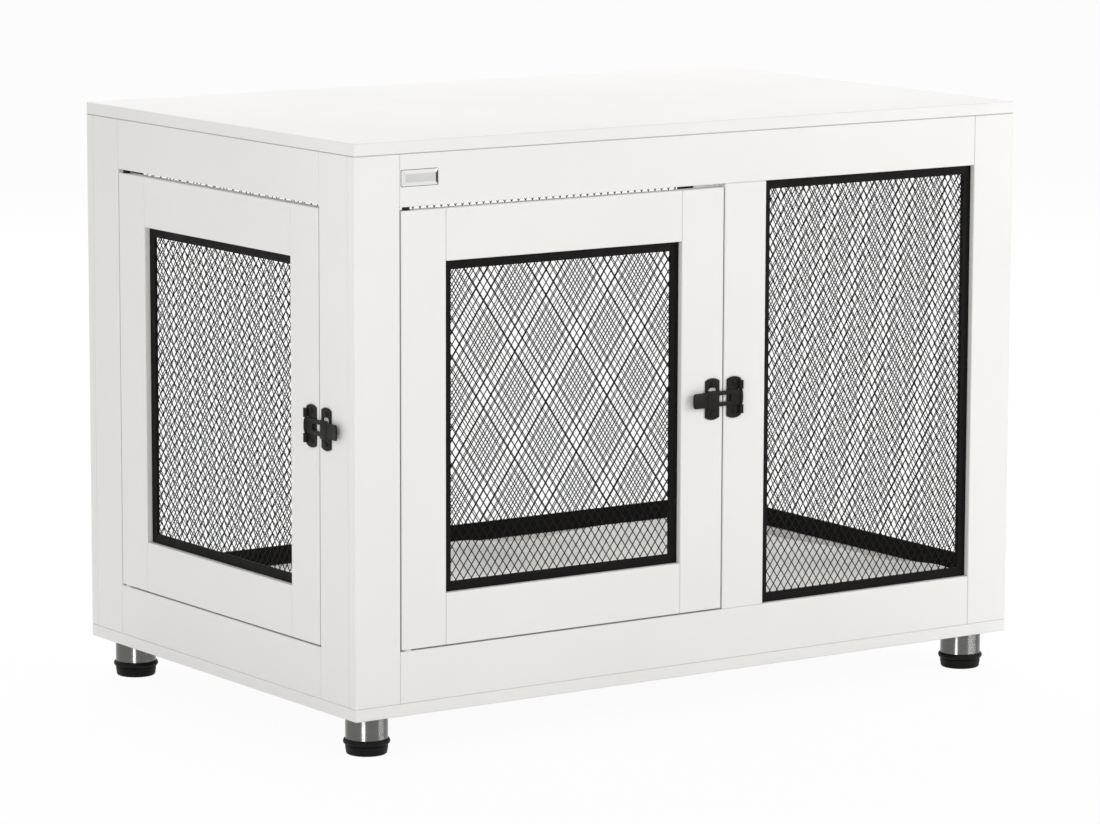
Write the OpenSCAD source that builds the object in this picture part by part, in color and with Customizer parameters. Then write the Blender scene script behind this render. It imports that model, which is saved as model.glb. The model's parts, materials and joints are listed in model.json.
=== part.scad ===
/* [Body] */
// Width of the crate body
body_w = 980; // [900:5:1060]
// Depth of the crate body
body_d = 622; // [580:1:680]
// Height of the crate body from the underside of its floor to its top
body_h = 677; // [640:1:720]

/* [Boards] */
// Thickness of the boards of the frames and doors
frame_t = 15; // [15:0.5:18]
// Thickness of the top panel
top_t = 15; // [14:0.5:25]
// Thickness of the bottom panel
bottom_t = 15; // [14:0.5:25]
// Width of the posts of the frames
post_w = 62; // [58:1:72]
// Height of the rails of the frames
rail_h = 62; // [56:1:72]
// Width of the stiles of the doors
stile_w = 62; // [58:1:72]
// Height of the rails of the doors
door_rail_h = 62; // [56:1:72]
// Bevel along the edges of the boards
edge_bevel = 0.8; // [0.4:0.1:1.2]

/* [Joinery] */
// Length of the tongues at the ends of rails and of the middle stile
tongue_l = 10; // [8:0.5:14]
// Thickness of the tongues
tongue_t = 5; // [4:0.5:6]
// Height of the tongues
tongue_h = 30; // [24:1:34]
// Distance from a board's outer edge to its tongue
tongue_shoulder = 8; // [6:0.5:10]
// Play of a tongue in its mortise
tongue_play = 0.15; // [0.1:0.05:0.3]
// Diameter of the cam discs that draw the boards together
cam_d = 12; // [10:0.5:14]
// Depth of a cam disc in its board
cam_depth = 11; // [10:0.5:12]
// Distance from a board's edge to the axis of its cam disc
cam_reach = 24; // [20:1:26]
// Diameter of the shank of the cam bolts
cam_bolt_d = 6; // [5:0.5:7]
// Diameter of the neck between the shank and the head of a cam bolt
cam_neck_d = 3.6; // [3:0.2:4]
// Depth to which the cam bolts are screwed in
cam_thread_l = 9; // [8:0.5:11]
// Distance from a frame's end to the cam discs of its rails
cam_inset = 150; // [120:5:180]
// Distance from the floor or the top to the cam discs of a corner
corner_cam_inset = 120; // [90:5:150]
// Play round a cam disc and its bolt
cam_play = 0.15; // [0.1:0.05:0.3]

/* [Doors] */
// Width of the opening of the front door
front_opening_w = 468; // [440:1:500]
// Gap at each side of a door
door_side_gap = 2; // [2:0.1:3]
// Gap over a door
door_top_gap = 4.3; // [3:0.1:6]
// Gap under a door
door_bottom_gap = 1.7; // [1.2:0.1:3]
// Distance from a door's hinge edge to its pivot pins
pivot_inset = 10; // [9:0.5:13]
// Distance from a door's outer face to its pivot pins
pivot_depth = 6; // [5:0.1:6.2]
// Diameter of the pivot pins
pivot_d = 6; // [4:0.5:6]
// Length of the pivot pins
pivot_l = 40; // [30:1:50]
// Diameter of the collar on an upper pivot pin
pivot_collar_d = 9; // [8:0.5:11]
// Diameter of the washers under the doors
washer_d = 11; // [9:0.5:12]
// Radial running clearance of the pivot pins
pivot_play = 0.05; // [0.03:0.01:0.08]
// Height of the air left over a washer and under a collar
pivot_air = 0.1; // [0.05:0.05:0.3]

/* [Grilles] */
// Width of the flat bar round a grille
bar_w = 24; // [20:1:28]
// Thickness of the flat bar
bar_t = 4; // [3:0.5:5]
// Width of the bar hidden behind the board
grille_lap = 12.5; // [11:0.5:14]
// Depth of the pocket for a grille, from the inner face of a board
pocket_depth = 7.5; // [6.5:0.5:8]
// Play round a grille in its pocket
grille_play = 0.5; // [0.3:0.1:0.8]
// Width of one diamond of the mesh
mesh_pitch_w = 56; // [50:1:90]
// Height of one diamond of the mesh
mesh_pitch_h = 80; // [70:1:120]
// Width of a strand of the mesh
strand_w = 3; // [2:0.5:4]
// Thickness of the mesh
strand_t = 1.5; // [1:0.5:2]

/* [Latches] */
// Width of the latch plates
plate_w = 21; // [19:0.5:22]
// Height of the latch plates
plate_h = 51; // [50:0.5:56]
// Thickness of the latch plates
plate_t = 1.5; // [1:0.1:1.6]
// Radius of the round ends of the latch plates
plate_end_r = 19; // [15:1:26]
// Distance from the middle of the door gap to the middle of the hinge plate
hinge_plate_x = 15.5; // [14.5:0.5:16]
// Distance from the middle of the door gap to the middle of the keeper
keeper_x = 17; // [16:0.5:18]
// Distance from the middle of the door gap to the latch axis
latch_axis_x = 25; // [24:0.5:26]
// Height of the latch axis over the board
latch_axis_y = 3.2; // [3.1:0.1:3.6]
// Radius of the knuckles
knuckle_r = 3; // [2.8:0.1:3]
// Height of one knuckle of the hinge plate
knuckle_h = 10.5; // [8:0.5:12]
// Diameter of the latch pin
latch_pin_d = 3; // [2:0.5:3.5]
// Radial clearance of the latch pin in the knuckles of the plate
latch_pin_fit = 0.03; // [0.02:0.01:0.05]
// Radial running clearance of the arm on the latch pin
latch_pin_play = 0.08; // [0.05:0.01:0.1]
// Height of the latch arm
arm_h = 19; // [17:0.5:20]
// Gap between the arm's barrel and each knuckle
arm_gap = 0.25; // [0.2:0.05:0.5]
// Length of the latch arm from its axis to the end of its finger tab
arm_l = 75; // [68:1:84]
// Thickness of the latch arm
arm_t = 1.5; // [1:0.1:1.6]
// Height of the arm's outer face over the board
arm_out = 3.5; // [3.4:0.1:4]
// Distance from the latch axis to the bend of the finger tab
bend_at = 48; // [47:1:52]
// Radius of the bend of the finger tab
bend_r = 81; // [60:1:120]
// Radius of the end of the finger tab
tab_end_r = 40; // [30:1:60]
// Radius of the corners of the finger tab
tab_corner_r = 4; // [2:0.5:6]
// Distance from the latch axis to the near end of the arm's slot
slot_near = 11.5; // [10:0.5:14]
// Distance from the latch axis to the far end of the arm's slot
slot_far = 46; // [45:0.5:46]
// Height of the arm's slot
slot_h = 7.5; // [7:0.1:8.5]
// Radius of the corners of the slot
slot_corner_r = 1.5; // [0.5:0.5:3]
// Radius of the catch that stands through the slot
catch_r = 3.2; // [2.4:0.1:3.2]
// Gap beside the catch in the slot
catch_gap = 0.5; // [0.3:0.1:1]
// Width of the window of the keeper
keeper_window_w = 13; // [11:0.5:14]
// Height of the window of the keeper
keeper_window_h = 24; // [20:1:26]
// Radius of the corners of the keeper's window
keeper_window_r = 4; // [2:0.5:4]
// Distance from the middle of a latch plate to each of its screws
latch_screw_z = 18; // [17:0.5:19]

/* [Screws] */
// Diameter of the screws' shanks
screw_d = 3; // [2.5:0.5:3]
// Diameter of the screws' heads
screw_head_d = 6; // [5.5:0.5:6]
// Height of the screws' heads
screw_head_h = 1.6; // [1.2:0.1:1.8]
// Length of the screws of the latches and feet
screw_l = 12; // [10:0.5:13]
// Length of the screws of the grilles
grille_screw_l = 9; // [7:0.5:10]
// Radial clearance of a screw in its hole
screw_play = 0.05; // [0.03:0.01:0.1]
// Distance from a grille's corner to its nearest screw
grille_screw_inset = 70; // [50:5:100]

/* [Feet] */
// Distance from the body's edges to the axis of a foot
foot_inset = 40; // [34:1:60]
// Outer diameter of the foot tubes
foot_d = 50.8; // [45:0.2:54]
// Wall of the foot tubes
foot_wall = 1.5; // [1:0.5:2]
// Length of the foot tubes
foot_tube_l = 28.8; // [24:0.2:60]
// Diameter of the collar under a foot tube
collar_d = 56; // [55.5:0.5:64]
// Height of the collar
collar_h = 7.7; // [6:0.1:10]
// Length of the collar's plug in the tube
plug_l = 12; // [8:0.5:16]
// Play of the plug and of the foot plate in the tube
plug_play = 0.1; // [0.05:0.05:0.2]
// Diameter of the base of a foot at its top
base_d = 51; // [44:0.5:54]
// Diameter of the base of a foot at the floor
base_floor_d = 49; // [40:0.5:50]
// Height of the base of a foot
base_h = 11.45; // [9:0.05:16]
// Radius of the edge on which a foot stands
base_edge_r = 2.5; // [1:0.5:4]
// Depth of the step round the base
base_step = 0.4; // [0.2:0.1:0.8]
// Diameter of the levelling stud
stud_d = 8; // [6:0.5:10]
// Length of the levelling stud
stud_l = 21; // [20:0.5:23]
// Radial running clearance of the levelling stud
stud_play = 0.08; // [0.05:0.01:0.1]
// Air between the collar and the base
base_air = 0.05; // [0.05:0.05:0.2]
// Thickness of the plate in the top of a foot tube
foot_plate_t = 3; // [2:0.5:4]
// Distance from a foot's axis to the screws of its plate
foot_screw_r = 15; // [12:0.5:17]

/* [Plate] */
// Width of the bare plate on the front
badge_w = 53; // [40:1:80]
// Height of the bare plate
badge_h = 23; // [16:1:30]
// Thickness of the bare plate
badge_t = 2; // [1.5:0.5:3]
// Width of the bevel round the bare plate
badge_bevel = 4.5; // [2:0.5:6]
// Radius of the corners of the bare plate
badge_corner_r = 1; // [0.5:0.5:2]
// Distance from the post to the bare plate
badge_gap = 0.7; // [0.5:0.1:20]

/* [Cushion] */
// Gap between the cushion and the walls
cushion_gap = 10; // [6:1:20]
// Thickness of the cushion in its middle
cushion_h = 50; // [40:1:70]
// Height of the swelling in the middle of the cushion
cushion_crown = 10; // [4:1:16]
// Width of the rounded side of the cushion
cushion_side = 16; // [10:1:24]
// How far the sides are drawn in between the corners
cushion_draw = 12; // [4:1:18]
// Air between the cushion and the floor
cushion_air = 0.3; // [0.2:0.1:0.5]

/* [Hidden] */
$fn = 48;

board_color = "white";
black = "#1d1c1b";
steel = "silver";
zinc = "lightsteelblue";
nylon = "gainsboro";
fabric = "#cbc9c2";

// Sizes of the frames and of their openings
frame_h = body_h - bottom_t - top_t;
side_w = body_d - 2 * frame_t;
opening_z = bottom_t + rail_h;
opening_h = frame_h - 2 * rail_h;
window_x = 2 * post_w + front_opening_w;
window_w = body_w - window_x - post_w;
side_opening_w = side_w - 2 * post_w;
back_opening_w = body_w - 2 * post_w;

// Sizes of the doors
front_door_w = front_opening_w - 2 * door_side_gap;
side_door_w = side_opening_w - 2 * door_side_gap;
door_h = opening_h - door_top_gap - door_bottom_gap;
door_z = opening_z + door_bottom_gap;
door_window_h = door_h - 2 * door_rail_h;

// Places of the latches, in the middle of the gap beside each door
latch_z = opening_z + opening_h / 2;
front_latch_x = post_w + front_opening_w - door_side_gap / 2;
side_latch_x = post_w + side_opening_w - door_side_gap / 2;
catch_h = slot_h - 2 * catch_gap;

// How far the finger tabs stand out, which the frame of the whole part allows for
latch_reach = arm_out + tab_rise(arm_l);
foot_h = foot_tube_l + collar_h + base_air + base_h;
overshoot = 1;

// Rise of the finger tab at a distance from the latch axis
function tab_rise(a) = a > bend_at ? bend_r - sqrt(bend_r * bend_r - (a - bend_at) * (a - bend_at)) : 0;

// Corners of a rectangle with its corners cut off
function bevelled(a, b, c) = [[c, 0], [a - c, 0], [a, c], [a, b - c], [a - c, b], [c, b], [0, b - c], [0, c]];

// Places of the crate and of its faces. On each face, x runs along it, y goes in and z goes up.
module crate() translate([-(body_w - latch_reach) / 2, -(body_d - latch_reach) / 2, foot_h]) children();
module front() crate() children();
module back() crate() translate([body_w, body_d, 0]) rotate([0, 0, 180]) children();
module left() crate() translate([0, body_d - frame_t, 0]) rotate([0, 0, -90]) children();
module right() crate() translate([body_w, frame_t, 0]) rotate([0, 0, 90]) children();
module front_door() front() translate([post_w + door_side_gap, 0, door_z]) children();
module side_door() left() translate([post_w + door_side_gap, 0, door_z]) children();
module front_latch() front() translate([front_latch_x, 0, latch_z]) children();
module side_latch() left() translate([side_latch_x, 0, latch_z]) mirror([1, 0, 0]) children();

// A board with bevelled edges
module board(w, d, h) color(board_color) intersection() {
    linear_extrude(h) polygon(bevelled(w, d, edge_bevel));
    translate([0, d, 0]) rotate([90, 0, 0]) linear_extrude(d) polygon(bevelled(w, h, edge_bevel));
    rotate([90, 0, 90]) linear_extrude(w) polygon(bevelled(d, h, edge_bevel));
}

// A slab with round corners, centred on its face
module rounded_slab(w, h, t, r) rotate([90, 0, 0]) {
    translate([-w / 2 + r, -h / 2, -t / 2]) cube([w - 2 * r, h, t]);
    translate([-w / 2, -h / 2 + r, -t / 2]) cube([w, h - 2 * r, t]);
    for (x = [-1, 1], z = [-1, 1])
        translate([x * (w / 2 - r), z * (h / 2 - r), 0]) cylinder(r = r, h = t, center = true);
}

// Tongues at both ends of a rail, or their mortises when there is play round them
module rail_tongues(x0, x1, z, play = 0) color(board_color) for (x = [x0, x1])
    translate([x - tongue_l - play, (frame_t - tongue_t) / 2 - play, z - play])
        cube([2 * (tongue_l + play), tongue_t + 2 * play, tongue_h + 2 * play]);

// Tongues at both ends of an upright, or their mortises
module stile_tongues(x, z0, z1, play = 0) color(board_color) for (z = [z0, z1])
    translate([x - play, (frame_t - tongue_t) / 2 - play, z - tongue_l - play])
        cube([tongue_h + 2 * play, tongue_t + 2 * play, 2 * (tongue_l + play)]);

// Heights at which the tongues of the rails of a frame or door start
function tongue_starts(z0, h) = [z0 + tongue_shoulder, z0 + h - tongue_shoulder - tongue_h];

// The pocket behind a window's edges in which its grille lies
module pocket(x, z, w, h) {
    m = grille_lap + grille_play;
    translate([x - m, frame_t - pocket_depth, z - m]) cube([w + 2 * m, pocket_depth + overshoot, h + 2 * m]);
}

// A cam bolt along z, screwed into one board at z = 0, with its head in the disc
module cam_bolt() color(zinc) rotate_extrude() polygon([
    [0, -cam_thread_l], [cam_bolt_d / 2, -cam_thread_l], [cam_bolt_d / 2, cam_reach - cam_d / 2 - 2],
    [cam_neck_d / 2, cam_reach - cam_d / 2 - 1], [cam_neck_d / 2, cam_reach - 2],
    [cam_bolt_d / 2, cam_reach - 1], [cam_bolt_d / 2, cam_reach + 1], [0, cam_reach + 2]]);

// The room of a cam bolt, with a channel for its head
module cam_bolt_hole(from, play) translate([0, 0, from])
    cylinder(d = cam_bolt_d + 2 * play, h = cam_reach + 2 + play - from);

// A cam disc, open toward its bolt, with a cross slot in its face
module cam_disc() color(zinc) difference() {
    translate([0, frame_t / 2 - cam_depth, cam_reach]) rotate([-90, 0, 0])
        cylinder(d = cam_d, h = cam_depth - cam_play);
    cam_bolt_hole(0, 2 * cam_play);
    for (turn = [0, 90]) translate([0, frame_t / 2, cam_reach]) rotate([0, 45 + turn, 0])
        cube([cam_d / 2, 3, 1.2], center = true);
}

// The holes for a cam disc and its bolt in both boards
module cam_hole() {
    cam_bolt_hole(-cam_thread_l - cam_play, cam_play);
    translate([0, frame_t / 2 - cam_depth - cam_play, cam_reach]) rotate([-90, 0, 0])
        cylinder(d = cam_d + 2 * cam_play, h = cam_depth + cam_play + overshoot);
}

// Places of the cams that hold a frame to the bottom panel (0) and to the top panel (1)
module panel_cams(w, ends = [0, 1]) for (x = [cam_inset, w - cam_inset], end = ends)
    translate([x, frame_t / 2, bottom_t + end * frame_h]) rotate([0, end * 180, 0]) children();

// Places of the cams that hold a side frame to the front and back frames
module corner_cams() for (z = [bottom_t + corner_cam_inset, body_h - top_t - corner_cam_inset], end = [0, 1])
    translate([end * side_w, frame_t / 2, z]) rotate([0, end ? -90 : 90, 0]) children();

// Places of all the cams
module all_cams() {
    front() panel_cams(body_w) children();
    back() panel_cams(body_w) children();
    left() panel_cams(side_w) children();
    right() panel_cams(side_w) children();
    left() corner_cams() children();
    right() corner_cams() children();
}

// A pan head screw along z, with the underside of its head at z = 0
module screw(l) color(black) rotate_extrude() polygon([
    [0, -screw_head_h], [screw_head_d / 4, -screw_head_h], [screw_head_d / 2 - 0.4, -screw_head_h / 2],
    [screw_head_d / 2, 0], [screw_d / 2, 0], [screw_d / 2, l - screw_d], [0, l]]);
module screw_hole(l) translate([0, 0, -overshoot])
    cylinder(d = screw_d + 2 * screw_play, h = l + 2 * overshoot);

// Places of the screws of a grille whose window starts at x, z
module grille_screws(x, z, w, h) {
    m = grille_lap / 2;
    along = [for (u = [grille_screw_inset, w - grille_screw_inset], v = [-m, h + m]) [u, v]];
    upright = [for (u = [-m, w + m], v = [grille_screw_inset, h - grille_screw_inset]) [u, v]];
    for (p = concat(along, upright))
        translate([x + p[0], frame_t - pocket_depth + bar_t, z + p[1]]) rotate([90, 0, 0]) children();
}

// Places of the screws of a latch plate centred at x
module latch_screws(x) for (s = [-1, 1])
    translate([x, -plate_t, s * latch_screw_z]) rotate([-90, 0, 0]) children();

// Places of the screws of a foot plate
module foot_screws() for (turn = [0:120:240])
    rotate([0, 0, turn]) translate([foot_screw_r, 0, -foot_plate_t]) children();

// Places of the feet
foot_left = foot_inset;
foot_right = body_w - foot_inset;
foot_front = foot_inset;
foot_back = body_d - foot_inset;
module foot(x, y) crate() translate([x, y, 0]) children();
module all_feet() for (x = [foot_left, foot_right], y = [foot_front, foot_back]) foot(x, y) children();

// The panels
module top_panel() difference() {
    crate() translate([0, 0, body_h - top_t]) board(body_w, body_d, top_t);
    front() panel_cams(body_w, [1]) cam_hole();
    back() panel_cams(body_w, [1]) cam_hole();
    left() panel_cams(side_w, [1]) cam_hole();
    right() panel_cams(side_w, [1]) cam_hole();
}
module bottom_panel() difference() {
    crate() board(body_w, body_d, bottom_t);
    front() panel_cams(body_w, [0]) cam_hole();
    back() panel_cams(body_w, [0]) cam_hole();
    left() panel_cams(side_w, [0]) cam_hole();
    right() panel_cams(side_w, [0]) cam_hole();
    all_feet() foot_screws() screw_hole(screw_l);
}

// The boards of a frame, on its own face. Its rails run from post to post.
module post(x, w) difference() {
    translate([x, 0, bottom_t]) board(post_w, frame_t, frame_h);
    for (z = tongue_starts(bottom_t, frame_h)) rail_tongues(post_w, w - post_w, z, tongue_play);
}
module rail(end, w) {
    z = bottom_t + end * (frame_h - rail_h);
    difference() {
        union() {
            translate([post_w, 0, z]) board(w - 2 * post_w, frame_t, rail_h);
            rail_tongues(post_w, w - post_w, tongue_starts(bottom_t, frame_h)[end]);
        }
        panel_cams(w, [end]) cam_hole();
    }
}

// Holes in the ends of the front and back frames for the bolts of the corners
module corner_bolt_holes() for (x = [frame_t / 2, body_w - frame_t / 2],
    z = [bottom_t + corner_cam_inset, body_h - top_t - corner_cam_inset])
        translate([x, frame_t, z]) rotate([-90, 0, 0]) cam_bolt_hole(-cam_thread_l - cam_play, cam_play);

// The front frame, with the opening of the door at its left and a window at its right
module front_window_cuts() {
    pocket(window_x, opening_z, window_w, opening_h);
    grille_screws(window_x, opening_z, window_w, opening_h) screw_hole(grille_screw_l);
}
module middle_tongues(play = 0) stile_tongues(post_w + front_opening_w + tongue_shoulder,
    opening_z, opening_z + opening_h, play);
module front_left_post() front() difference() {
    post(0, body_w);
    corner_bolt_holes();
}
module front_right_post() front() difference() {
    post(body_w - post_w, body_w);
    corner_bolt_holes();
    front_window_cuts();
}
module front_mid_stile() {
    difference() {
        front() union() {
            translate([window_x - post_w, 0, opening_z]) board(post_w, frame_t, opening_h);
            middle_tongues();
        }
        front() front_window_cuts();
        front_latch() latch_screws(hinge_plate_x) screw_hole(screw_l);
    }
}
module front_top_rail() difference() {
    front() rail(1, body_w);
    front() front_window_cuts();
    front() middle_tongues(tongue_play);
    front_door() pivots(pivot_play);
}
module front_bottom_rail() difference() {
    front() rail(0, body_w);
    front() front_window_cuts();
    front() middle_tongues(tongue_play);
    front_door() pivots(pivot_play);
}

// The back frame, with one wide window
module back_window_cuts() {
    pocket(post_w, opening_z, back_opening_w, opening_h);
    grille_screws(post_w, opening_z, back_opening_w, opening_h) screw_hole(grille_screw_l);
}
module back_post(x) back() difference() {
    post(x, body_w);
    corner_bolt_holes();
    back_window_cuts();
}
module back_rail(end) back() difference() {
    rail(end, body_w);
    back_window_cuts();
}
module back_left_post() back_post(body_w - post_w);
module back_right_post() back_post(0);
module back_top_rail() back_rail(1);
module back_bottom_rail() back_rail(0);

// The left frame, with the opening of the side door
module left_front_post() difference() {
    left() post(side_w - post_w, side_w);
    left() corner_cams() cam_hole();
    side_latch() latch_screws(-keeper_x) screw_hole(screw_l);
}
module left_back_post() left() difference() {
    post(0, side_w);
    corner_cams() cam_hole();
}
module left_rail(end) difference() {
    left() rail(end, side_w);
    side_door() pivots(pivot_play);
}
module left_top_rail() left_rail(1);
module left_bottom_rail() left_rail(0);

// The right frame, with one window
module right_window_cuts() {
    pocket(post_w, opening_z, side_opening_w, opening_h);
    grille_screws(post_w, opening_z, side_opening_w, opening_h) screw_hole(grille_screw_l);
}
module right_post(x) right() difference() {
    post(x, side_w);
    corner_cams() cam_hole();
    right_window_cuts();
}
module right_rail(end) right() difference() {
    rail(end, side_w);
    right_window_cuts();
}
module right_front_post() right_post(0);
module right_back_post() right_post(side_w - post_w);
module right_top_rail() right_rail(1);
module right_bottom_rail() right_rail(0);

// The gap of one diamond, cut off at the edges of a net of size w by h
function cell(cx, cz, a, b, w, h) = [
    for (p = [[cx - a, cz], [cx, cz - b], [cx + a, cz], [cx, cz + b]])
        [min(max(p[0], 0), w), min(max(p[1], 0), h)]];

// An outline without the points that cutting off has made double
function distinct(q) = [for (i = [0:len(q) - 1]) if (norm(q[i] - q[(i + 1) % len(q)]) > 0.01) q[i]];

// The gaps of a net of nx by nz diamonds, all strands as wide as strand_w
function cells(w, h, nx, nz) =
    let (px = w / nx, pz = h / nz, k = strand_w / 2 / sin(atan2(pz, px)), a = px / 2 - k, b = a * pz / px)
    [for (j = [0:2 * nz], i = [0:2 * nx]) if ((i + j) % 2 == 0)
        distinct(cell(i * px / 2, j * pz / 2, a, b, w, h))];

// A diamond mesh over w by h, with an edge that the bar covers
module net(w, h) {
    holes = cells(w, h, round(w / mesh_pitch_w), round(h / mesh_pitch_h));
    lap = bar_w / 3;
    outer = [[-lap, -lap], [w + lap, -lap], [w + lap, h + lap], [-lap, h + lap]];
    counts = [for (q = holes) len(q)];
    starts = [for (i = 0, s = 4; i < len(holes); s = s + counts[i], i = i + 1) s];
    points = [for (q = concat([outer], holes)) each q];
    paths = concat([[0, 1, 2, 3]],
        [for (i = [0:len(holes) - 1]) [for (k = [0:counts[i] - 1]) starts[i] + k]]);
    rotate([90, 0, 0]) linear_extrude(strand_t) polygon(points, paths);
}

// A grille of flat bar and mesh behind a window that starts at x, z
module grille(x, z, w, h) color(black) {
    inner_w = w + 2 * grille_lap - 2 * bar_w;
    inner_h = h + 2 * grille_lap - 2 * bar_w;
    bar_y = frame_t - pocket_depth;
    difference() {
        translate([x - grille_lap, bar_y, z - grille_lap])
            cube([w + 2 * grille_lap, bar_t, h + 2 * grille_lap]);
        translate([x - grille_lap + bar_w, bar_y - overshoot, z - grille_lap + bar_w])
            cube([inner_w, bar_t + 2 * overshoot, inner_h]);
        grille_screws(x, z, w, h) screw_hole(grille_screw_l);
    }
    translate([x - grille_lap + bar_w, bar_y + (bar_t + strand_t) / 2, z - grille_lap + bar_w])
        net(inner_w, inner_h);
}
module front_window_grille() front() grille(window_x, opening_z, window_w, opening_h);
module back_grille() back() grille(post_w, opening_z, back_opening_w, opening_h);
module right_side_grille() right() grille(post_w, opening_z, side_opening_w, opening_h);

// The fasteners of the crate itself
module cam_discs() all_cams() cam_disc();
module cam_bolts() all_cams() cam_bolt();
module crate_screws() {
    front() grille_screws(window_x, opening_z, window_w, opening_h) screw(grille_screw_l);
    back() grille_screws(post_w, opening_z, back_opening_w, opening_h) screw(grille_screw_l);
    right() grille_screws(post_w, opening_z, side_opening_w, opening_h) screw(grille_screw_l);
    front_latch() latch_screws(hinge_plate_x) screw(screw_l);
    side_latch() latch_screws(-keeper_x) screw(screw_l);
    all_feet() foot_screws() screw(screw_l);
}

// The pieces of a door of width w, with its hinge edge at x = 0
module door_pocket(w) {
    pocket(stile_w, door_rail_h, w - 2 * stile_w, door_window_h);
    grille_screws(stile_w, door_rail_h, w - 2 * stile_w, door_window_h) screw_hole(grille_screw_l);
}
module door_stile(x, w) difference() {
    translate([x, 0, 0]) board(stile_w, frame_t, door_h);
    for (z = tongue_starts(0, door_h)) rail_tongues(stile_w, w - stile_w, z, tongue_play);
    door_pocket(w);
}
module door_hinge_stile(w) difference() {
    door_stile(0, w);
    pivots(pivot_play);
}
module door_rail(end, w) difference() {
    union() {
        translate([stile_w, 0, end * (door_h - door_rail_h)])
            board(w - 2 * stile_w, frame_t, door_rail_h);
        rail_tongues(stile_w, w - stile_w, tongue_starts(0, door_h)[end]);
    }
    door_pocket(w);
}
module door_grille(w) grille(stile_w, door_rail_h, w - 2 * stile_w, door_window_h);
module door_screws(w) grille_screws(stile_w, door_rail_h, w - 2 * stile_w, door_window_h)
    screw(grille_screw_l);

// The pivot pins at a door's lower and upper corner, or their bores
module pivots(play = 0) for (z = [-door_bottom_gap / 2, door_h + door_top_gap / 2])
    translate([pivot_inset, pivot_depth, z])
        cylinder(d = pivot_d + 2 * play, h = pivot_l + 2 * play, center = true);
module pivot_pins() color(black) {
    pivots();
    translate([pivot_inset, pivot_depth, door_h + pivot_air])
        cylinder(d = pivot_collar_d, h = door_top_gap - pivot_air);
}
module pivot_washer() color(nylon) translate([pivot_inset, pivot_depth, -door_bottom_gap]) difference() {
    cylinder(d = washer_d, h = door_bottom_gap - pivot_air);
    translate([0, 0, -overshoot])
        cylinder(d = pivot_d + 2 * pivot_play, h = door_bottom_gap + 2 * overshoot);
}

// The front door
module front_door_hinge_stile() front_door() door_hinge_stile(front_door_w);
module front_door_latch_stile() difference() {
    front_door() door_stile(front_door_w - stile_w, front_door_w);
    front_latch() latch_screws(-keeper_x) screw_hole(screw_l);
}
module front_door_top_rail() front_door() door_rail(1, front_door_w);
module front_door_bottom_rail() front_door() door_rail(0, front_door_w);
module front_door_grille() front_door() door_grille(front_door_w);
module front_door_screws() {
    front_door() door_screws(front_door_w);
    front_latch() latch_screws(-keeper_x) screw(screw_l);
}

// The side door
module side_door_hinge_stile() side_door() door_hinge_stile(side_door_w);
module side_door_latch_stile() difference() {
    side_door() door_stile(side_door_w - stile_w, side_door_w);
    side_latch() latch_screws(hinge_plate_x) screw_hole(screw_l);
}
module side_door_top_rail() side_door() door_rail(1, side_door_w);
module side_door_bottom_rail() side_door() door_rail(0, side_door_w);
module side_door_grille() side_door() door_grille(side_door_w);
module side_door_screws() {
    side_door() door_screws(side_door_w);
    side_latch() latch_screws(hinge_plate_x) screw(screw_l);
}

// The pivots of both doors
module door_pivot_pins() {
    front_door() pivot_pins();
    side_door() pivot_pins();
}
module door_pivot_washers() {
    front_door() pivot_washer();
    side_door() pivot_washer();
}

// A latch, with x = 0 in the middle of the door gap and its arm's axis on the plus side
module latch_axis(d, h) translate([latch_axis_x, -latch_axis_y, 0]) cylinder(d = d, h = h, center = true);

// A latch plate with round ends and two screw holes, centred at x
module latch_plate(x) difference() {
    translate([x, -plate_t / 2, 0]) intersection() {
        cube([plate_w, plate_t, plate_h], center = true);
        for (s = [-1, 1]) translate([0, 0, s * (plate_h / 2 - plate_end_r)]) rotate([90, 0, 0])
            cylinder(r = plate_end_r, h = plate_t, center = true);
    }
    latch_screws(x) screw_hole(screw_l);
}

// The plate that carries the arm, with two knuckles and a notch for the arm's barrel
module latch_hinge_plate() color(black) {
    inner = arm_h / 2 + arm_gap;
    difference() {
        union() {
            latch_plate(hinge_plate_x);
            for (z = [-inner - knuckle_h, inner]) translate([latch_axis_x, -latch_axis_y, z])
                cylinder(r = knuckle_r, h = knuckle_h);
        }
        translate([latch_axis_x - knuckle_r - catch_gap, -plate_t - overshoot, -inner])
            cube([2 * knuckle_r, plate_t + 2 * overshoot, 2 * inner]);
        latch_axis(latch_pin_d + 2 * latch_pin_fit, plate_h);
    }
}
module latch_pin() color(black) latch_axis(latch_pin_d, arm_h + 2 * arm_gap + 2 * knuckle_h);

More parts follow.
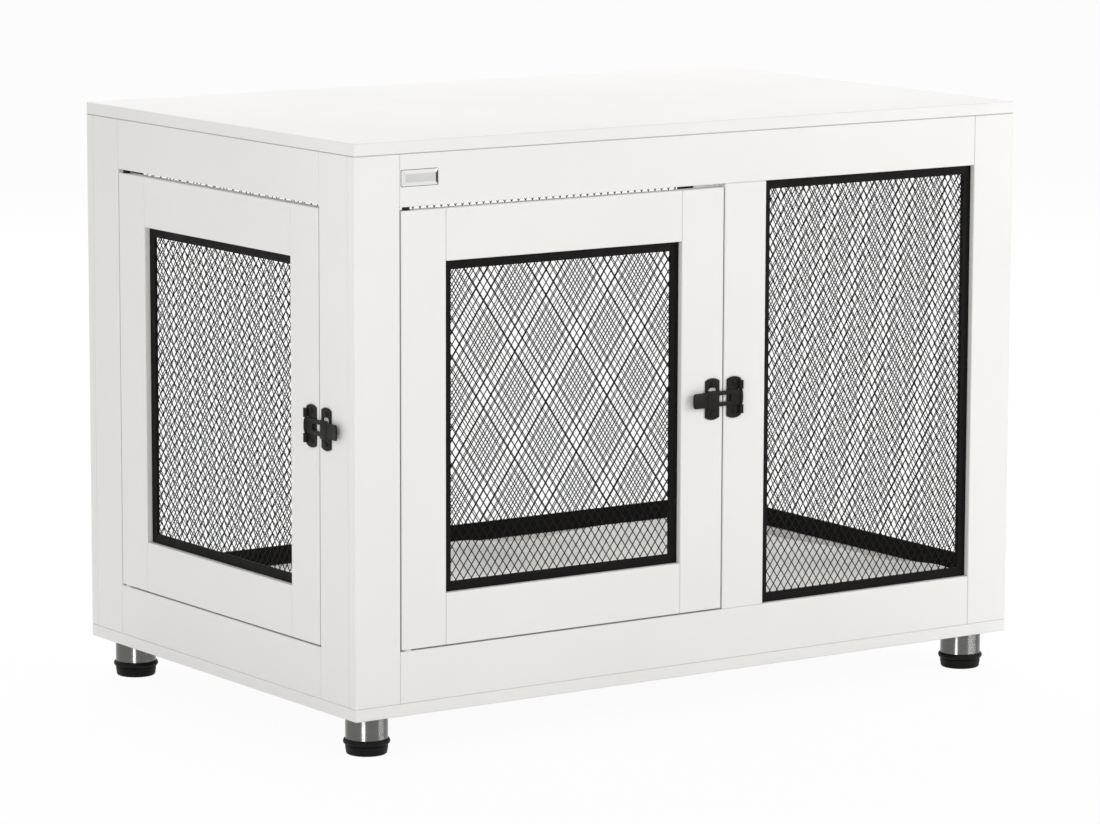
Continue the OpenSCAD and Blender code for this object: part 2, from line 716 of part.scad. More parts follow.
// The arm seen along its axis: a flat strap that bends outward into the finger tab
function tab_places(steps = 8) =
    concat([0], [for (i = [0:steps]) bend_at + (arm_l - bend_at) * i / steps], [arm_l + 2]);
function arm_side(y) = [for (a = tab_places()) [latch_axis_x - a, -y - tab_rise(a)]];
function reversed(q) = [for (i = [len(q) - 1:-1:0]) q[i]];
module latch_arm() color(black) difference() {
    union() {
        translate([latch_axis_x, -latch_axis_y, 0]) rotate_extrude() polygon([
            [0, -arm_h / 2], [knuckle_r - 0.2, -arm_h / 2], [knuckle_r, -arm_h / 4],
            [knuckle_r, arm_h / 4], [knuckle_r - 0.2, arm_h / 2], [0, arm_h / 2]]);
        intersection() {
            translate([0, 0, -arm_h / 2]) linear_extrude(arm_h)
                polygon(concat(arm_side(arm_out), reversed(arm_side(arm_out - arm_t))));
            translate([latch_axis_x - arm_l / 2, 0, 0])
                rounded_slab(arm_l + 0.6, arm_h, 4 * latch_reach, tab_corner_r);
            translate([latch_axis_x - arm_l + tab_end_r, 0, 0]) rotate([90, 0, 0])
                cylinder(r = tab_end_r, h = 4 * latch_reach, center = true);
        }
        translate([latch_axis_x - tab_end_r / 2, arm_t / 2 - arm_out, 0])
            cube([tab_end_r, arm_t, arm_h], center = true);
    }
    latch_axis(latch_pin_d + 2 * latch_pin_play, plate_h);
    translate([latch_axis_x - (slot_near + slot_far) / 2, -arm_out, 0])
        rounded_slab(slot_far - slot_near, slot_h, 4 * arm_out, slot_corner_r);
}

// The keeper: a plate with a window, crossed by a strip that is pressed out into the catch
module latch_keeper() color(black) difference() {
    union() {
        difference() {
            latch_plate(-keeper_x);
            translate([-keeper_x, 0, 0])
                rounded_slab(keeper_window_w, keeper_window_h, 4 * plate_t, keeper_window_r);
        }
        translate([-keeper_x - keeper_window_w / 2 - overshoot, -plate_t, -catch_h / 2])
            cube([keeper_window_w + 2 * overshoot, plate_t, catch_h]);
        translate([-keeper_x, -plate_t, 0]) cylinder(r = catch_r, h = catch_h, center = true);
    }
    translate([-keeper_x, -plate_t, 0]) cylinder(r = catch_r - plate_t, h = 2 * catch_h, center = true);
    translate([-keeper_x, catch_r, 0]) cube([plate_w, 2 * catch_r, plate_h], center = true);
}
module front_latch_hinge_plate() front_latch() latch_hinge_plate();
module front_latch_pin() front_latch() latch_pin();
module front_latch_arm() front_latch() latch_arm();
module front_latch_keeper() front_latch() latch_keeper();
module side_latch_hinge_plate() side_latch() latch_hinge_plate();
module side_latch_pin() side_latch() latch_pin();
module side_latch_arm() side_latch() latch_arm();
module side_latch_keeper() side_latch() latch_keeper();

// A foot tube, its plate under the bottom panel and the collar that closes it below
module foot_tube() color(steel) difference() {
    translate([0, 0, -foot_tube_l]) cylinder(d = foot_d, h = foot_tube_l);
    translate([0, 0, -foot_tube_l - overshoot])
        cylinder(d = foot_d - 2 * foot_wall, h = foot_tube_l + 2 * overshoot);
}
module foot_plate() color(zinc) difference() {
    translate([0, 0, -foot_plate_t])
        cylinder(d = foot_d - 2 * foot_wall - 2 * plug_play, h = foot_plate_t);
    foot_screws() screw_hole(screw_l);
}
module foot_collar(bead_steps = 8) color(black) translate([0, 0, -foot_tube_l]) difference() {
    bead_r = collar_h / 2;
    bead = [for (i = [0:bead_steps]) let (a = 90 - 180 * i / bead_steps)
        [collar_d / 2 - bead_r + bead_r * cos(a), -bead_r + bead_r * sin(a)]];
    rotate_extrude() polygon(concat([[0, 0]], bead, [[0, -collar_h]]));
    translate([0, 0, -collar_h - overshoot])
        cylinder(d = stud_d + 2 * stud_play, h = collar_h + 2 * overshoot);
}
module foot_plug() color(black) translate([0, 0, -foot_tube_l - 1]) difference() {
    cylinder(d = foot_d - 2 * foot_wall - 2 * plug_play, h = plug_l + 1);
    translate([0, 0, -overshoot]) cylinder(d = stud_d + 2 * stud_play, h = plug_l + 1 + 2 * overshoot);
}

// The base of a foot, with the stud by which it is screwed up and down
module foot_base(edge_steps = 4) color(black) translate([0, 0, -foot_tube_l - collar_h - base_air]) {
    top_r = base_d / 2;
    floor_r = base_floor_d / 2;
    edge = [for (i = [0:edge_steps]) let (a = -90 * i / edge_steps)
        [floor_r - base_edge_r + base_edge_r * cos(a), -base_h + base_edge_r + base_edge_r * sin(a)]];
    rotate_extrude() polygon(concat(
        [[0, stud_l], [stud_d / 2, stud_l], [stud_d / 2, 0], [top_r - 0.6, 0], [top_r, -0.6],
        [top_r - base_step, -base_h / 2], [top_r - 2 * base_step, -base_h / 2]], edge, [[0, -base_h]]));
}
module foot_tube_front_left() foot(foot_left, foot_front) foot_tube();
module foot_tube_front_right() foot(foot_right, foot_front) foot_tube();
module foot_tube_back_left() foot(foot_left, foot_back) foot_tube();
module foot_tube_back_right() foot(foot_right, foot_back) foot_tube();
module foot_plates() all_feet() foot_plate();
module foot_collars() all_feet() {
    foot_collar();
    foot_plug();
}
module foot_base_front_left() foot(foot_left, foot_front) foot_base();
module foot_base_front_right() foot(foot_right, foot_front) foot_base();
module foot_base_back_left() foot(foot_left, foot_back) foot_base();
module foot_base_back_right() foot(foot_right, foot_back) foot_base();

// The bare plate on the front, with bevels all round
module badge_plate() color(steel) front()
    translate([post_w + badge_gap, 0, body_h - top_t - rail_h / 2 - badge_h / 2]) intersection() {
        linear_extrude(badge_h)
            polygon([[0, 0], [badge_bevel, -badge_t], [badge_w - badge_bevel, -badge_t], [badge_w, 0]]);
        rotate([90, 0, 90]) linear_extrude(badge_w)
            polygon([[0, 0], [-badge_t, badge_bevel], [-badge_t, badge_h - badge_bevel], [0, badge_h]]);
        translate([badge_w / 2, 0, badge_h / 2])
            rounded_slab(badge_w, badge_h, 4 * badge_t, badge_corner_r);
    }

// The cushion: rings of points from its underside over its round side to its crown
cushion_w = body_w - 2 * frame_t - 2 * cushion_gap;
cushion_d = body_d - 2 * frame_t - 2 * cushion_gap;
cushion_side_h = cushion_h - cushion_crown;
cushion_side_places = [for (a = [-75:30:75])
    [cushion_side * (1 - cos(a)), cushion_side_h / 2 * (1 + sin(a) / sin(75))]];
cushion_top_places = [for (u = [0.15, 0.3, 0.5, 0.7, 0.9])
    [cushion_side + u * (cushion_d / 2 - cushion_side), cushion_side_h + cushion_crown * (1 - pow(1 - u, 2))]];
cushion_places = concat(cushion_side_places, cushion_top_places);
function cushion_ring(inset, z, n = 12) =
    let (a = cushion_w / 2 - inset, b = cushion_d / 2 - inset, draw = 4 * cushion_draw * 2 * b / cushion_d,
        corners = [[-a, -b], [a, -b], [a, b], [-a, b]], inward = [[0, 1], [-1, 0], [0, -1], [1, 0]])
    [for (s = [0:3], i = [0:n - 1]) let (t = i / n, p = corners[s] * (1 - t) + corners[(s + 1) % 4] * t
        + inward[s] * draw * t * (1 - t)) [p[0], p[1], z]];
module cushion() color(fabric) crate()
    translate([body_w / 2, body_d / 2, bottom_t + cushion_air]) {
        rings = [for (p = cushion_places) cushion_ring(p[0], p[1])];
        n = len(rings[0]);
        last = len(rings) - 1;
        sides = [for (k = [0:last - 1], i = [0:n - 1])
            let (a = k * n + i, b = k * n + (i + 1) % n) each [[a, b + n, b], [a, a + n, b + n]]];
        polyhedron([for (ring = rings) each ring],
            concat([[for (i = [0:n - 1]) i]], sides, [[for (i = [n - 1:-1:0]) last * n + i]]));
    }

top_panel();
bottom_panel();
front_left_post();
front_right_post();
front_mid_stile();
front_top_rail();
front_bottom_rail();
back_left_post();
back_right_post();
back_top_rail();
back_bottom_rail();
left_front_post();
left_back_post();
left_top_rail();
left_bottom_rail();
right_front_post();
right_back_post();
right_top_rail();
right_bottom_rail();
front_window_grille();
right_side_grille();
back_grille();
cam_discs();
cam_bolts();
crate_screws();
front_door_hinge_stile();
front_door_latch_stile();
front_door_top_rail();
front_door_bottom_rail();
front_door_grille();
front_door_screws();
side_door_hinge_stile();
side_door_latch_stile();
side_door_top_rail();
side_door_bottom_rail();
side_door_grille();
side_door_screws();
door_pivot_pins();
door_pivot_washers();
front_latch_hinge_plate();
front_latch_pin();
front_latch_arm();
front_latch_keeper();
side_latch_hinge_plate();
side_latch_pin();
side_latch_arm();
side_latch_keeper();
foot_tube_front_left();
foot_tube_front_right();
foot_tube_back_left();
foot_tube_back_right();
foot_plates();
foot_collars();
foot_base_front_left();
foot_base_front_right();
foot_base_back_left();
foot_base_back_right();
badge_plate();
cushion();
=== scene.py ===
"""The looks of a pet crate: white boards, black diamond mesh, steel feet and a soft cushion."""

import json
import math

import bmesh
import bpy
import numpy as np
from mathutils import Matrix, Vector

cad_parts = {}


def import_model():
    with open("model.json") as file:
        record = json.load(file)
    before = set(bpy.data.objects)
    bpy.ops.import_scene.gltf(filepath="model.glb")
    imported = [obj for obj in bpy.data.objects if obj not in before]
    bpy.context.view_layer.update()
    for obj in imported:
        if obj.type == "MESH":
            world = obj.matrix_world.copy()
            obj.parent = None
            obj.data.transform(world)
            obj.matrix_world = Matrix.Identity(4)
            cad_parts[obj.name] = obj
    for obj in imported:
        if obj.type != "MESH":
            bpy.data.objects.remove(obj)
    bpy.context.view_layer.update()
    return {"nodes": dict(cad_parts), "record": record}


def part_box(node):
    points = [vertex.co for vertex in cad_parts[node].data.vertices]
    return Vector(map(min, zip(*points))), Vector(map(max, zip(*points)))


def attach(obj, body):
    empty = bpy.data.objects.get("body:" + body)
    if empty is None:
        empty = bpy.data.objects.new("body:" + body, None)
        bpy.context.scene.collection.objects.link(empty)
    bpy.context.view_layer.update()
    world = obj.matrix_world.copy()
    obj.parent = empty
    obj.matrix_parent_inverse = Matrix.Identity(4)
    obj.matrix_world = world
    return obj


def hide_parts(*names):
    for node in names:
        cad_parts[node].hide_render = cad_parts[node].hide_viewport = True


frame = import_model()

MM = 0.001
LATHE_STEPS = 32

# Camera, set where the edges of the crate fit the photograph
CAMERA_AT = Vector((-3.5065, -5.0661, 1.2957))
CAMERA_LOOKS_AT = Vector((-0.0047, -0.0067, 0.3342))
CAMERA_ROLL = math.radians(0.1685)
CAMERA_LENS = 161.76

# Grilles: flat bar round a sheet of diamond mesh
BAR_W = 24 * MM
BAR_EDGE_R = 0.5 * MM
MESH_W = 11.13 * MM
MESH_H = 16 * MM
STRAND_W = 1.12 * MM
STRAND_T = 0.5 * MM
STRAND_TILT = 0.1 * MM

# Painted shade in the joints: how near another surface has to be for a board to darken, and the colour
# there and under the top
JOINT_REACH = 3 * MM
JOINT_SHADE = (0.66, 0.65, 0.63)
SEAM_SHADE = (0.45, 0.442, 0.424)

# Screws behind the grilles: the recess is in shares of the head's radius, its radius and its height
SCREW_HEAD_H = 1.6 * MM
SCREW_SHANK_R = 1.5 * MM
DOME_ANGLES = (20, 40, 60, 78, 90)
DOME_SHARE = 0.55
RECESS = (1.15, 0.26, 1.1)
RECESS_TAPER = (0.45, 0.6)
SCREW_TURN = 0.7

# Latch arms: distances along the arm start at its axis, heights over the board at the board
ARM_L = 75 * MM
ARM_H = 18.5 * MM
ARM_T = 1.5 * MM
ARM_OUT = 3.5 * MM
TAB_END_R = 40 * MM
TAB_CORNER_R = 4 * MM
TAB_BEND_R = 156 * MM
TAB_OVER = 2 * MM
BRIDGE_FROM = 34 * MM
BRIDGE_TO = 52.5 * MM
BRIDGE_RISE = 3 * MM
BRIDGE_H = 22 * MM
BRIDGE_CORNER_R = 3 * MM
GROOVE = 0.7 * MM
SLOT_FROM = 15 * MM
SLOT_L = 18 * MM
SLOT_H = 8.5 * MM
SLOT_CORNER_R = 1.5 * MM
BARREL_R = 2.7 * MM
BARREL_END_R = 2.1 * MM
BARREL_H = 16 * MM
PIN_PLAY = 0.08 * MM

# Cutters and edges of the latches
THROUGH = 20 * MM
EDGE_R = 0.2 * MM
EDGE_ANGLE = math.radians(35)

# Keepers: a plate with a window, and the catch on a strip across it
KEEPER_T = 1.5 * MM
KEEPER_END_R = 19 * MM
WINDOW_W = 13 * MM
WINDOW_H = 22 * MM
WINDOW_RAISED = 3 * MM
WINDOW_CORNER_R = 4 * MM
CATCH_R = 3.2 * MM
CATCH_H = 7 * MM
STRIP_LAP = 1 * MM
KEEPER_SCREW_AT = 18 * MM
SCREW_HOLE_R = 1.6 * MM
SCREW_HOLE_STEPS = 24

# Bare plate on the front
PLATE_W = 52 * MM
PLATE_H = 20 * MM
PLATE_BEVEL = 5 * MM
PLATE_CORNER_R = 1 * MM
PLATE_RAISED = 1 * MM

# Cushion: the pad before it is blown up, as rings of (inset in millimetres, share of its height)
CUSHION_RINGS = [(10, 0), (3, 0.12), (0, 0.3), (0, 0.5), (3, 0.64), (10, 0.74), (60, 0.80), (160, 0.84),
                 (240, 0.86)]
CUSHION_START = 9 * MM
CUSHION_DRAWN_IN = 10 * MM
CUSHION_VOXEL = 6 * MM
CLOTH_PRESSURE = 4
CLOTH_MASS = 0.3
CLOTH_FRAMES = 20
CUSHION_CAP = 16 * MM
CUSHION_PROUD = 16 * MM
WAVE_H = 2.6 * MM
RIM_H = 15 * MM
RIM_W = 48 * MM
RIM_FROM_SIDE = 12 * MM
RIM_WAVE = 4 * MM

# Fold at the cushion's far edge and a patch of painted shade on its top
FOLD_AT = (0.03, 0.25)
FOLD_R = (0.05, 0.06)
FOLD_H = 11 * MM
PATCH_AT = (0.02, 0.165, 0.118)
PATCH_R = 0.14
PATCH_SHADE = 0.74

# Lamps, in metres and watts: height is given where a lamp isn't square
TUBE_AIM = (-0.446, -0.267, 0.05)
LAMPS = {
    "key": {"at": (1.9, -2.0, 1.1), "aim": (0.3, -0.3, 0.35), "size": 1.2, "power": 22},
    "fill": {"at": (-2.0, -1.5, 1.0), "aim": (-0.49, -0.2, 0.35), "size": 1.1, "power": 13},
    "back": {"at": (1.5, 3.2, 3.0), "aim": (0, 0, 0.2), "size": 3.6, "power": 140},
    "inside": {"at": (0, 0, 0.66), "aim": (0, 0, 0), "size": 0.85, "power": 1.7, "height": 0.5},
    "streak": {"at": (-1.95, -1.6, 0.5), "aim": TUBE_AIM, "size": 0.5, "power": 150, "height": 0.9},
    "band": {"at": (1.0, -1.3, 0.5), "aim": TUBE_AIM, "size": 1.3, "power": 80, "height": 0.9},
}
SKY_LEVEL = 0.60
FLOOR_HALF = 14.0
FLOOR_WHITE = 0.95

# Dark card beside the crate
CARD_X = 2.4
CARD_Y = (-1.3, 0.5)
CARD_H = 1.0


# Materials


class Shader:
    """A material with a Principled shader, and short ways to add nodes to it."""

    def __init__(self, name, color, roughness, metallic=0.0, specular=0.5):
        self.material = bpy.data.materials.new(name)
        self.material.use_nodes = True
        self.tree = self.material.node_tree
        self.principled = self.tree.nodes["Principled BSDF"]
        self.principled.inputs["Base Color"].default_value = (*color, 1)
        self.principled.inputs["Roughness"].default_value = roughness
        self.principled.inputs["Metallic"].default_value = metallic
        self.principled.inputs["Specular IOR Level"].default_value = specular
        self.place = self.node("ShaderNodeTexCoord").outputs["Object"]

    def node(self, kind, inputs=None, **settings):
        node = self.tree.nodes.new(kind)
        for key, value in settings.items():
            setattr(node, key, value)
        for key, value in (inputs or {}).items():
            if isinstance(value, bpy.types.NodeSocket):
                self.tree.links.new(value, node.inputs[key])
            else:
                node.inputs[key].default_value = value
        return node

    def stretched(self, scale):
        return self.node("ShaderNodeMapping", {"Vector": self.place, "Scale": scale}).outputs["Vector"]

    def noise(self, scale, detail=3.0, roughness=0.55, vector=None):
        return self.node("ShaderNodeTexNoise", {
            "Vector": vector or self.place, "Scale": scale, "Detail": detail, "Roughness": roughness,
        }).outputs["Fac"]

    def span(self, value, low, high, start=0.3, end=0.7):
        """value, a texture's output, taken from start..end to low..high."""
        return self.node("ShaderNodeMapRange", {
            "Value": value, "From Min": start, "From Max": end, "To Min": low, "To Max": high,
        }).outputs["Result"]

    def colors(self, factor, first, second):
        """first where factor is 0 and second where it is 1, each a colour or another node's output."""
        mix = self.tree.nodes.new("ShaderNodeMix")
        mix.data_type = "RGBA"
        self.tree.links.new(factor, mix.inputs[0])
        ends = [socket for socket in mix.inputs if socket.type == "RGBA"]
        for socket, end in zip(ends, (first, second)):
            if isinstance(end, bpy.types.NodeSocket):
                self.tree.links.new(end, socket)
            else:
                socket.default_value = (*end, 1)
        return next(socket for socket in mix.outputs if socket.type == "RGBA")

    def math(self, operation, first, second=0.0):
        return self.node("ShaderNodeMath", {0: first, 1: second}, operation=operation).outputs[0]

    def link(self, output, name):
        self.tree.links.new(output, self.principled.inputs[name])

    def bump(self, height, distance, strength=1.0, normal=None):
        inputs = {"Height": height, "Distance": distance, "Strength": strength}
        if normal is not None:
            inputs["Normal"] = normal
        out = self.node("ShaderNodeBump", inputs).outputs["Normal"]
        self.link(out, "Normal")
        return out


def lacquered_board():
    """White lacquer on smooth fibreboard: a faint cloudiness, orange peel, and painted shade in the joints
    and under the top panel.
    """
    s = Shader("white_board", (0.84, 0.83, 0.81), 0.42, specular=0.4)
    cloud = s.colors(s.span(s.noise(6.0, detail=2.0), 0, 1), (0.832, 0.822, 0.798), (0.848, 0.840, 0.818))
    # Painted shade: boards darken where ambient occlusion finds another surface near, and darker still
    # along the seam under the top panel
    height = s.node("ShaderNodeSeparateXYZ", {0: s.place}).outputs[2]
    from_seam = s.math("ABSOLUTE", s.math("SUBTRACT", height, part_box("top_panel")[0][2]))
    painted_shade = s.colors(s.span(from_seam, 0, 1, 1 * MM, 1.5 * MM), SEAM_SHADE, JOINT_SHADE)
    openness = s.node("ShaderNodeAmbientOcclusion", {"Distance": JOINT_REACH}, samples=8).outputs["AO"]
    s.link(s.colors(s.span(openness, 0, 1, 0.6, 0.95), painted_shade, cloud), "Base Color")
    s.link(s.span(s.noise(90.0, detail=4.0), 0.38, 0.50), "Roughness")
    peel = s.bump(s.noise(750.0, detail=2.0), 0.02 * MM, 0.5)
    s.bump(s.noise(9.0, detail=1.0), 0.25 * MM, 0.25, peel)
    return s.material


def black_powder_coat(name, color, roughness, grain):
    s = Shader(name, color, roughness, specular=0.08)
    warm = tuple(1.5 * c for c in color)
    s.link(s.colors(s.span(s.noise(160.0, detail=5.0), 0, 1), color, warm), "Base Color")
    s.link(s.span(s.noise(60.0), roughness - 0.07, roughness + 0.09), "Roughness")
    s.bump(s.noise(grain, detail=3.0), 0.05 * MM, 0.6)
    return s.material


def brushed_steel():
    """Stainless tube, brushed round and round, which draws each reflected lamp out to an upright streak."""
    s = Shader("brushed_tube", (0.125, 0.125, 0.117), 0.3, metallic=1.0)
    s.principled.inputs["Anisotropic"].default_value = 0.9
    s.principled.inputs["Anisotropic Rotation"].default_value = 0.25
    s.link(s.node("ShaderNodeTangent", direction_type="RADIAL", axis="Z").outputs["Tangent"], "Tangent")
    lines = s.noise(1.0, detail=6.0, roughness=0.7, vector=s.stretched((14, 14, 5200)))
    s.link(s.colors(s.span(lines, 0, 1), (0.105, 0.105, 0.098), (0.15, 0.15, 0.141)), "Base Color")
    s.link(s.span(lines, 0.17, 0.24), "Roughness")
    s.bump(lines, 0.012 * MM, 0.5)
    return s.material


def zinc_steel():
    s = Shader("zinc_steel", (0.55, 0.56, 0.58), 0.35, metallic=1.0)
    spangle = s.node("ShaderNodeTexVoronoi", {"Vector": s.place, "Scale": 420.0}).outputs["Distance"]
    s.link(s.colors(s.span(spangle, 0, 1, 0.1, 0.7), (0.48, 0.49, 0.51), (0.62, 0.63, 0.65)), "Base Color")
    s.link(s.span(s.noise(200.0), 0.28, 0.42), "Roughness")
    return s.material


def nylon():
    s = Shader("white_nylon", (0.75, 0.75, 0.73), 0.45)
    s.link(s.colors(s.span(s.noise(300.0), 0, 1), (0.71, 0.71, 0.69), (0.78, 0.78, 0.76)), "Base Color")
    s.bump(s.noise(1500.0), 0.02 * MM, 0.5)
    return s.material


def moulded_plastic():
    s = Shader("black_plastic", (0.005, 0.005, 0.0045), 0.5, specular=0.12)
    cloud = s.span(s.noise(240.0, detail=4.0), 0, 1)
    s.link(s.colors(cloud, (0.004, 0.004, 0.0035), (0.008, 0.0078, 0.007)), "Base Color")
    s.link(s.span(s.noise(110.0), 0.44, 0.58), "Roughness")
    s.bump(s.noise(2200.0, detail=2.0), 0.03 * MM, 0.7)
    return s.material


def plate_box():
    """Corners of the bare plate: a little smaller than the frame's, and nearer to the top."""
    lo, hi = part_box("badge_plate")
    left, top = (lo[0] + hi[0] - PLATE_W) / 2, hi[2] + PLATE_RAISED
    return Vector((left, lo[1], top - PLATE_H)), Vector((left + PLATE_W, hi[1], top))


def bright_plate():
    """Aluminium with a satin face, polished bevels and a dark line of painted shade round its edge."""
    s = Shader("bright_plate", (0.6, 0.6, 0.59), 0.25, metallic=1.0)
    lo, hi = plate_box()
    middle, half = (lo + hi) / 2, (hi - lo) / 2
    place = s.node("ShaderNodeSeparateXYZ", {0: s.place}).outputs
    inside = [s.math("SUBTRACT", half[i], s.math("ABSOLUTE", s.math("SUBTRACT", place[i], middle[i])))
              for i in (0, 2)]
    from_edge = s.math("MINIMUM", *inside)
    normal = s.node("ShaderNodeTexCoord").outputs["Normal"]
    facing = s.math("MULTIPLY", s.node("ShaderNodeSeparateXYZ", {0: normal}).outputs[1], -1.0)
    on_face = s.span(facing, 0, 1, 0.92, 0.97)
    lines = s.noise(1.0, detail=4.0, vector=s.stretched((60, 60, 4200)))
    satin = s.colors(s.span(lines, 0, 1), (0.50, 0.50, 0.49), (0.58, 0.58, 0.57))
    metal = s.colors(on_face, (0.86, 0.86, 0.85), satin)
    # Painted shade: a near-black line within 0.8 mm of the edge stands for the shadow round the plate
    s.link(s.colors(s.span(from_edge, 0, 1, 0.5 * MM, 0.8 * MM), (0.07, 0.07, 0.07), metal), "Base Color")
    s.link(s.span(on_face, 0.12, 0.3, 0, 1), "Roughness")
    s.bump(lines, 0.008 * MM, 0.3)
    return s.material


def woven_fabric():
    """A plain weave of warm pale yarn, with soft blotches of wear and one patch of painted shade."""
    s = Shader("cushion_fabric", (0.84, 0.83, 0.79), 0.95, specular=0.2)
    s.principled.inputs["Sheen Weight"].default_value = 0.25
    s.principled.inputs["Sheen Roughness"].default_value = 0.6

    def yarn(direction):
        return s.node("ShaderNodeTexWave", {
            "Vector": s.place, "Scale": 260.0, "Distortion": 0.6, "Detail": 2.0, "Detail Scale": 1.5,
        }, wave_type="BANDS", bands_direction=direction).outputs["Fac"]

    weave = s.math("MULTIPLY", yarn("X"), yarn("Y"))
    wear = s.math("MULTIPLY", s.noise(28.0, detail=5.0), 0.7)
    both = s.span(s.math("ADD", wear, weave), 0, 1, 0.2, 1.2)
    cloth = s.colors(both, (0.79, 0.785, 0.75), (0.88, 0.875, 0.84))
    # Painted shade: the colour goes darker towards a ragged patch on the top, standing for the shade in a
    # dip of the pad
    away = s.node("ShaderNodeVectorMath", {0: s.place, 1: PATCH_AT}, operation="DISTANCE").outputs["Value"]
    ragged = s.math("ADD", away, s.span(s.noise(9.0), -0.05, 0.05))
    shade = s.span(ragged, PATCH_SHADE, 1.0, 0.3 * PATCH_R, PATCH_R)
    s.link(s.colors(shade, (0, 0, 0), cloth), "Base Color")
    s.bump(weave, 0.25 * MM, 0.6)
    return s.material


MATERIALS = {
    "white_board": lacquered_board(),
    "grille_steel": black_powder_coat("grille_steel", (0.0055, 0.005, 0.0046), 0.55, 1400.0),
    "black_screws": black_powder_coat("black_screws", (0.014, 0.013, 0.012), 0.38, 900.0),
    "latch_steel": black_powder_coat("latch_steel", (0.013, 0.0125, 0.0115), 0.42, 1800.0),
    "zinc_steel": zinc_steel(),
    "white_nylon": nylon(),
    "brushed_tube": brushed_steel(),
    "black_plastic": moulded_plastic(),
    "bright_plate": bright_plate(),
    "cushion_fabric": woven_fabric(),
}

SLOT_OF = {row["node"]: row["material_slot"] for row in frame["record"]["subparts"]}
BODY_OF = {node: body for body, nodes in frame["record"]["behaviour"]["bodies"].items() for node in nodes}


def dress_frame():
    """Gives every node of the frame the material of its slot."""
    for name, node in frame["nodes"].items():
        node.data.materials.clear()
        node.data.materials.append(MATERIALS[SLOT_OF[name]])


def add_mesh(name, points, faces):
    mesh = bpy.data.meshes.new(name)
    mesh.from_pydata([tuple(p) for p in points], [], faces)
    made = bpy.data.objects.new(name, mesh)
    bpy.context.scene.collection.objects.link(made)
    return made


def shade_smooth(piece):
    piece.data.polygons.foreach_set("use_smooth", [True] * len(piece.data.polygons))


def new_piece(name, points, faces, slot, body, smooth=False):
    piece = add_mesh(name, points, faces)
    piece.data.validate()
    if smooth:
        shade_smooth(piece)
    piece.data.materials.append(MATERIALS[slot])
    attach(piece, body)
    return piece


# Loose forms


def fix_normals(piece):
    shape = bmesh.new()
    shape.from_mesh(piece.data)
    bmesh.ops.recalc_face_normals(shape, faces=shape.faces)
    shape.to_mesh(piece.data)
    shape.free()


def apply_modifiers(piece):
    bpy.context.view_layer.update()
    done = bpy.data.meshes.new_from_object(piece.evaluated_get(bpy.context.evaluated_depsgraph_get()))
    old = piece.data
    piece.modifiers.clear()
    piece.data = done
    bpy.data.meshes.remove(old)


def solid(points, faces):
    """A loose closed form."""
    made = add_mesh("solid", points, faces)
    fix_normals(made)
    return made


def prism(outline, low, high, axes):
    """An outline drawn from low to high; axes says along which axis its two numbers and the height lie."""
    points = []
    for height in (low, high):
        for pair in outline:
            point = [0.0, 0.0, 0.0]
            for axis, value in zip(axes, (*pair, height)):
                point[axis] = value
            points.append(point)
    n = len(outline)
    faces = [list(reversed(range(n))), list(range(n, 2 * n))]
    return solid(points, faces + [[i, (i + 1) % n, n + (i + 1) % n, n + i] for i in range(n)])


def lathe(profile, steps=LATHE_STEPS):
    """A closed round solid along z from (radius, height) pairs that start and end on the axis."""
    points, faces = [(0, 0, profile[0][1])], []
    rings = profile[1:-1]
    turns = [2 * math.pi * i / steps for i in range(steps)]
    for radius, height in rings:
        points += [(radius * math.cos(t), radius * math.sin(t), height) for t in turns]
    last = len(points)
    points.append((0, 0, profile[-1][1]))
    for i in range(steps):
        j = (i + 1) % steps
        faces.append([0, 1 + j, 1 + i])
        for r in range(len(rings) - 1):
            a, b = 1 + r * steps, 1 + (r + 1) * steps
            faces.append([a + i, a + j, b + j, b + i])
        faces.append([last, last - steps + i, last - steps + j])
    return points, faces


def round_bar(profile, middle):
    """A lathed form round an upright axis that goes through middle."""
    points, faces = lathe(profile)
    return solid([Vector(p) + Vector(middle) for p in points], faces)


def combine(target, tool, operation, crossed=False):
    """Applies a boolean step to target and removes the tool; crossed is for a tool that crosses itself."""
    step = target.modifiers.new("step", "BOOLEAN")
    step.operation = operation
    step.object = tool
    step.solver = "EXACT"
    step.use_self = crossed
    apply_modifiers(target)
    bpy.data.objects.remove(tool)


# Grilles


def rounded_section(width, thickness, radius, steps=3):
    """Outline of a flat bar, as (distance across, distance through)."""
    corners = [(width - radius, thickness - radius, 0), (radius, thickness - radius, 90),
               (radius, radius, 180), (width - radius, radius, 270)]
    return [(a + radius * math.cos(math.radians(start + 90 * i / steps)),
             b + radius * math.sin(math.radians(start + 90 * i / steps)))
            for a, b, start in corners for i in range(steps + 1)]


def bar_ring(width, height, thickness):
    """A mitred ring of flat bar: points as (along, up, through), and faces."""
    section = rounded_section(BAR_W, thickness, BAR_EDGE_R)
    n = len(section)
    points = []
    for right, top in ((0, 0), (1, 0), (1, 1), (0, 1)):
        for across, through in section:
            along = width - across if right else across
            up = height - across if top else across
            points.append((along, up, through))
    faces = [[c * n + i, (c + 1) % 4 * n + i, (c + 1) % 4 * n + (i + 1) % n, c * n + (i + 1) % n]
             for c in range(4) for i in range(n)]
    return points, faces


